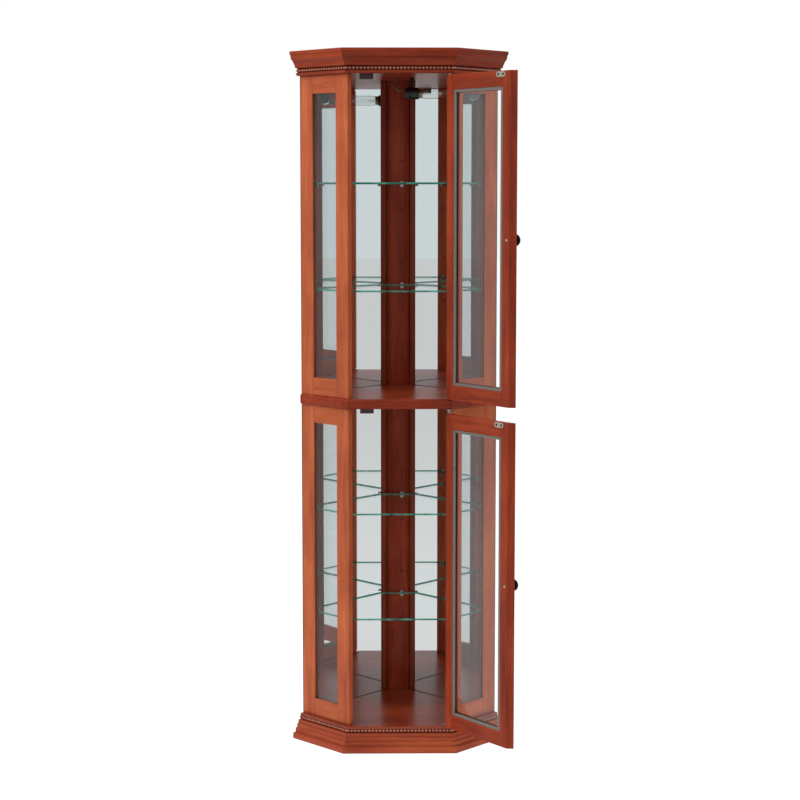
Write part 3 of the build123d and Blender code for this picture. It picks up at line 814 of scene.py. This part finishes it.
def grown(name, seed_mesh, tree, values):
    """Run a tree on a mesh and return its result as a plain object."""
    seed = bpy.data.objects.new(f"{name}_seed", seed_mesh)
    scene.collection.objects.link(seed)
    growth = seed.modifiers.new("growth", "NODES")
    growth.node_group = tree
    for key, value in values.items():
        growth[socket_key(tree, key)] = value
    ready = seed.evaluated_get(bpy.context.evaluated_depsgraph_get())
    mesh = bpy.data.meshes.new_from_object(ready)
    mesh.name = name
    seed.modifiers.remove(growth)
    bpy.data.objects.remove(seed)
    piece = bpy.data.objects.new(name, mesh)
    scene.collection.objects.link(piece)
    return piece


beads_along = bead_tree()
print("tree", beads_along.name, "with", len(beads_along.nodes), "nodes")

# %% Set the beads
bead_radius = 4.0 * MM
bead_step = 8.7 * MM
FRONT_HALF = 127.0 * MM
SIDE_RUN = 121.0 * MM
# The beads get a lighter copy of the wood than the crown and plinth. It is painted light for their bright
# round tops, with less painted shade in the gaps between them.
bead_wood = lacquered_cherry(
    "cherry_beads", ALONG["front"], "#8A3B26", "#AF5A3A", "#CE7C54", gloss=1.0, stain_left_in_shade=0.3
)


def bead_run_lines(stand_out):
    """The three runs of a row whose beads' middles stand out that far from the body."""
    corner = FRONT_HALF + stand_out * tan(pi / 8)
    far_x = FRONT_HALF + SIDE_RUN + stand_out / sqrt(2)
    far_y = SIDE_RUN - stand_out / sqrt(2)
    inset = 0.9 * bead_radius
    lean = inset / sqrt(2)
    return [
        ((-corner + inset / 2, -stand_out), (corner - inset / 2, -stand_out)),
        ((corner + lean, -stand_out + lean), (far_x - lean, far_y - lean)),
        ((-corner - lean, -stand_out + lean), (-far_x + lean, far_y - lean)),
    ]


for row in ("base_bead_rows", "crown_bead_rows"):
    low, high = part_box(row)
    height = (low.z + high.z) / 2
    stand_out = -low.y - bead_radius
    ends = [end for line in bead_run_lines(stand_out) for end in line]
    line_mesh = bpy.data.meshes.new(f"{row}_lines")
    line_mesh.from_pydata([(x, y, height) for x, y in ends], [(0, 1), (2, 3), (4, 5)], [])
    beads = grown(
        f"{row}_of_beads",
        line_mesh,
        beads_along,
        {"Step": bead_step, "Bead radius": bead_radius, "Finish": bead_wood},
    )
    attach(beads, "carcase")
    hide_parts(row)
    print(row, len(beads.data.polygons), "faces")

# %% [markdown]
# ## Turned shapes
#
# Knobs, screws and the lamp are round, so one function turns a profile
# about an axis, as a lathe does. A profile is a list of radius and height.
# Where the radius is nothing the shape closes in a single point.

# %% Turn a profile
def turned_mesh(name, profile, sides=32, origin=(0, 0, 0), axis=(0, 0, 1)):
    """Turn a profile in millimetres about an axis that starts at origin, in metres."""
    form = bmesh.new()
    rings = []
    for radius, height in profile:
        if radius == 0:
            rings.append([form.verts.new((0, 0, height * MM))])
            continue
        ring = []
        for step in range(sides):
            angle = 2 * pi * step / sides
            ring.append(form.verts.new((radius * MM * cos(angle), radius * MM * sin(angle), height * MM)))
        rings.append(ring)
    for lower, upper in zip(rings, rings[1:]):
        for step in range(sides):
            after = (step + 1) % sides
            corners = [lower[step % len(lower)], lower[after % len(lower)]]
            corners += [upper[after % len(upper)], upper[step % len(upper)]]
            form.faces.new(list(dict.fromkeys(corners)))
    bmesh.ops.recalc_face_normals(form, faces=form.faces)
    mesh = bpy.data.meshes.new(name)
    form.to_mesh(mesh)
    form.free()
    turn = Vector(axis).to_track_quat("Z", "Y").to_matrix().to_4x4()
    mesh.transform(Matrix.Translation(origin) @ turn)
    mesh.shade_smooth()
    mesh.set_sharp_from_angle(angle=radians(40))
    return mesh


def fitted(name, mesh, finish, body, stands_for=()):
    """Make a piece from a finished mesh and fix it to a body."""
    mesh.materials.clear()
    mesh.materials.append(finish)
    piece = bpy.data.objects.new(name, mesh)
    scene.collection.objects.link(piece)
    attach(piece, body)
    if stands_for:
        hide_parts(*stands_for)
    return piece


pivot = Vector(frame["joints"][0]["pos_m"])
door_turn = Matrix.Translation(pivot) @ Matrix.Rotation(turned, 4, "Z") @ Matrix.Translation(-pivot)


def shut_box(node):
    """The box of a door's node as it would be with the door shut."""
    back = door_turn.inverted()
    spots = [back @ v.co for v in frame["nodes"][node].data.vertices]
    lows = Vector([min(s[i] for s in spots) for i in range(3)])
    highs = Vector([max(s[i] for s in spots) for i in range(3)])
    return lows, highs


print("door seen shut:", [round(v, 4) for v in shut_box("upper_door_stiles")[0]])

# %% [markdown]
# ## Knobs
#
# Each knob is a dark bronze mushroom with a ring round its foot. It is turned
# about the line through its screw.

# %% Turn the knobs
knob_profile = [
    (0, 0), (8.4, 0), (8.5, 1.2), (7.9, 2.2), (7.2, 2.6), (6.6, 4.5), (6.4, 7), (6.9, 9.5), (7.6, 11),
    (9.5, 12.6), (12.0, 14.2), (13.6, 15.6), (14.3, 17.2), (14.1, 18.8), (13.2, 20.4), (12.6, 20.6),
    (12.4, 21.2), (11.2, 22.6), (8.6, 24.6), (5.2, 26.2), (2.4, 26.9), (0, 27.0),
]
outward = door_turn.to_3x3() @ Vector((0, -1, 0))
for level in LEVELS:
    low, high = shut_box(f"{level}_knob")
    foot = door_turn @ Vector(((low.x + high.x) / 2, high.y, (low.z + high.z) / 2))
    mesh = turned_mesh(f"{level}_turned_knob", knob_profile, 40, foot, outward)
    fitted(mesh.name, mesh, bronze, f"{level}_door", [f"{level}_knob"])
print("knobs turned,", len(knob_profile), "profile points each")

# %% [markdown]
# ## Screws
#
# The screws are copies of two small turned shapes: a raised head behind each
# knob, and a nearly flush one with a hollow on the strike plates, which leaves
# room for the catch when the door is shut. Geometry Nodes put one on every
# point of a mesh, turned to the direction stored on that point, and make the
# copies real.

# %% Build the placing tree
def placing_tree():
    """A node tree that puts a shape on every point, facing the point's own direction."""
    tree = bpy.data.node_groups.new("one_on_each_point", "GeometryNodeTree")
    face = tree.interface
    face.new_socket("Points", in_out="INPUT", socket_type="NodeSocketGeometry")
    face.new_socket("Shape", in_out="INPUT", socket_type="NodeSocketObject")
    face.new_socket("Size", in_out="INPUT", socket_type="NodeSocketFloat")
    face.new_socket("Finish", in_out="INPUT", socket_type="NodeSocketMaterial")
    face.new_socket("Placed", in_out="OUTPUT", socket_type="NodeSocketGeometry")
    given = add_node(tree, "NodeGroupInput")
    shape = add_node(tree, "GeometryNodeObjectInfo", {"Object": given.outputs["Shape"]})
    facing = add_node(
        tree, "GeometryNodeInputNamedAttribute", {"Name": "facing"}, data_type="FLOAT_VECTOR"
    )
    turn = add_node(
        tree, "FunctionNodeAlignRotationToVector", {"Vector": facing.outputs[0]}, axis="Z"
    )
    laid = add_node(
        tree,
        "GeometryNodeInstanceOnPoints",
        {
            "Points": given.outputs["Points"],
            "Instance": shape.outputs["Geometry"],
            "Rotation": turn.outputs[0],
            "Scale": given.outputs["Size"],
        },
    )
    real = add_node(tree, "GeometryNodeRealizeInstances", {0: laid.outputs[0]})
    finished = add_node(
        tree,
        "GeometryNodeSetMaterial",
        {"Geometry": real.outputs[0], "Material": given.outputs["Finish"]},
    )
    add_node(tree, "NodeGroupOutput", {"Placed": finished.outputs[0]})
    return tree


place_each = placing_tree()


def placed(name, spots, shape_mesh, finish, body, size=1.0):
    """Put a shape at each spot, which is a point and the direction it faces."""
    points = bpy.data.meshes.new(f"{name}_points")
    points.from_pydata([spot for spot, _ in spots], [], [])
    facing = points.attributes.new("facing", "FLOAT_VECTOR", "POINT")
    facing.data.foreach_set("vector", [c for _, way in spots for c in way])
    shape = bpy.data.objects.new(f"{name}_shape", shape_mesh)
    scene.collection.objects.link(shape)
    piece = grown(name, points, place_each, {"Shape": shape, "Size": size, "Finish": finish})
    bpy.data.objects.remove(shape)
    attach(piece, body)
    print(name, len(spots), "copies,", len(piece.data.polygons), "faces")


# %% Drive the screws
raised_head = [(0, -0.8), (3.4, -0.8), (3.4, 0.1), (2.9, 0.7), (1.9, 1.1), (1.5, 0.4), (0, 0.1)]
flush_head = [(0, -0.3), (2.9, -0.3), (2.9, 0.1), (2.4, 0.18), (1.3, 0.18), (1.1, 0.05), (0, 0.05)]
screw_shape = turned_mesh("turned_screw", raised_head, 20)
socket_shape = turned_mesh("turned_socket_screw", flush_head, 20)
strike_screw_reach = 8.5 * MM
inward_of_door = door_turn.to_3x3() @ Vector((0, 1, 0))
for level in LEVELS:
    low, high = shut_box(f"{level}_knob")
    inner = shut_box(f"{level}_door_stiles")[1].y
    spots = [(door_turn @ Vector(((low.x + high.x) / 2, inner, (low.z + high.z) / 2)), inward_of_door)]
    placed(f"{level}_knob_screw", spots, screw_shape, nickel, f"{level}_door", size=1.15)
    low, high = shut_box(f"{level}_strike_plate")
    middle = (low + high) / 2
    spots = [
        (door_turn @ Vector((middle.x + side * strike_screw_reach, high.y, middle.z)), inward_of_door)
        for side in (-1, 1)
    ]
    placed(f"{level}_strike_screws", spots, socket_shape, bronze, f"{level}_door")

# %% [markdown]
# ## The lamp
#
# A black lamp holder grips the alloy cap of a clear tubular lamp. The glass
# is a thin shell round a long filament, which hangs on a glass stem with
# fine wire hooks. The holder, cap and glass are turned, and the wires are
# curves with a round section, made into meshes.

# %% Turn the lamp holder and cap
holder_low, holder_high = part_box("lamp_holder")
bulb_low, bulb_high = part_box("lamp_bulb")
lamp_axis = Vector((holder_low.x, (holder_low.y + holder_high.y) / 2, (holder_low.z + holder_high.z) / 2))
holder_profile = [
    (0, 0), (9, 0), (11.5, 0.6), (13.6, 2.2), (14.6, 4.5), (15, 8), (15, 13), (14.5, 13.6), (14.5, 14.4),
    (15, 15), (15, 33), (14.6, 35), (14.0, 36), (13.1, 36), (12.6, 34.5), (0, 34.5),
]
fitted(
    "turned_lamp_holder",
    turned_mesh("turned_lamp_holder", holder_profile, 40, lamp_axis, (1, 0, 0)),
    black_plastic,
    "carcase",
    ["lamp_holder"],
)
cap_seat = 34.6 * MM
cap_start = lamp_axis + Vector((cap_seat, 0, 0))
cap_profile = [(0, 0), (12.2, 0)] + [
    (12.2 + 0.6 * sin(step * pi / 2), 0.6 + step * 0.7) for step in range(12)
] + [(12.4, 9.6), (12.9, 10.6), (0, 10.6)]
fitted(
    "lamp_cap",
    turned_mesh("lamp_cap", cap_profile, 32, cap_start, (1, 0, 0)),
    cap_metal,
    "carcase",
)
print("holder and cap turned")

# %% Blow the glass tube
tube_glass, tree, out = new_material("blown_lamp_glass")
aslant = add_node(tree, "ShaderNodeLayerWeight", {"Blend": 0.5}).outputs["Facing"]
rim = add_node(tree, "ShaderNodeMapRange", {"Value": aslant, "From Min": 0.45, "From Max": 0.95})
place = add_node(tree, "ShaderNodeTexCoord").outputs["Object"]
streak = add_node(tree, "ShaderNodeTexNoise", {"Vector": place, "Scale": 60.0, "Detail": 2.0})
wave = add_node(
    tree, "ShaderNodeBump", {"Strength": 0.3, "Distance": 1.0 * MM, "Height": streak.outputs[0]}
)
depth = add_node(
    tree,
    "ShaderNodeMix",
    {0: rim.outputs[0], 6: linear("#FBFCFB"), 7: linear("#4C5250")},
    data_type="RGBA",
)
through = add_node(tree, "ShaderNodeBsdfTransparent", {"Color": depth.outputs[2]})
shine = add_node(
    tree,
    "ShaderNodeBsdfGlossy",
    {"Color": linear("#FFFFFF"), "Roughness": 0.02, "Normal": wave.outputs[0]},
)
blown = add_node(
    tree, "ShaderNodeMixShader", {0: mirrored_share(tree, 0.1), 1: through.outputs[0], 2: shine.outputs[0]}
)
tree.links.new(blown.outputs[0], out.inputs["Surface"])
length = (bulb_high.x - bulb_low.x) / MM
tube_start = Vector((bulb_low.x, lamp_axis.y, lamp_axis.z))
tube_radius = 13.5
dome = 13
tube_profile = [(0, 8.6), (10.2, 8.6), (11.6, 9.6), (12.9, 12.5), (tube_radius, 16)]
tube_profile += [(tube_radius, length - dome)]
tube_profile += [
    (tube_radius * cos(step * pi / 16), length - dome + dome * sin(step * pi / 16)) for step in range(1, 8)
]
tube_profile += [(0, length)]
fitted(
    "lamp_tube",
    turned_mesh("lamp_tube", tube_profile, 40, tube_start, (1, 0, 0)),
    tube_glass,
    "carcase",
    ["lamp_bulb"],
)
print("tube", round(length), "mm long")

# %% Hang the filament
def wire(name, spots, radius, finish):
    """A round wire through spots given in millimetres from the tube's start."""
    line = bpy.data.curves.new(name, "CURVE")
    line.dimensions = "3D"
    line.bevel_depth = radius * MM
    line.bevel_resolution = 2
    line.use_fill_caps = True
    run = line.splines.new("POLY")
    run.points.add(len(spots) - 1)
    for point, (x, y, z) in zip(run.points, spots):
        point.co = (*(tube_start + Vector((x, y, z)) * MM), 1)
    guide = bpy.data.objects.new(f"{name}_guide", line)
    scene.collection.objects.link(guide)
    mesh = bpy.data.meshes.new_from_object(guide.evaluated_get(bpy.context.evaluated_depsgraph_get()))
    bpy.data.objects.remove(guide)
    mesh.name = name
    mesh.shade_smooth()
    return fitted(name, mesh, finish, "carcase")


tungsten = fitting_finish("drawn_tungsten", "#6E6A66", "#8F8B86", 1.0, 0.3, 1.0)
near, far = 10, length - 14
turns = 36
swing = 3.2
coil = [
    (near + (far - near) * step / turns, swing * (-1) ** step if 2 < step < turns - 2 else 0, 3.0)
    for step in range(turns + 1)
]
wire("lamp_filament", coil, 0.25, tungsten)
support = [(9, 0, -3.4), (far * 0.5, 0, -3.0), (far, 0, -1.5), (far, 0, 3.0)]
wire("lamp_support", support, 0.4, zinc)
stem_profile = [(0, 8.8), (4.6, 8.8), (4.0, 12), (2.4, 18), (1.8, 26), (2.2, 27.5), (0, 28)]
stem = turned_mesh("lamp_stem", stem_profile, 20, tube_start, (1, 0, 0))
fitted("lamp_stem", stem, tube_glass, "carcase")
print("filament hung on", round(far), "mm of support")
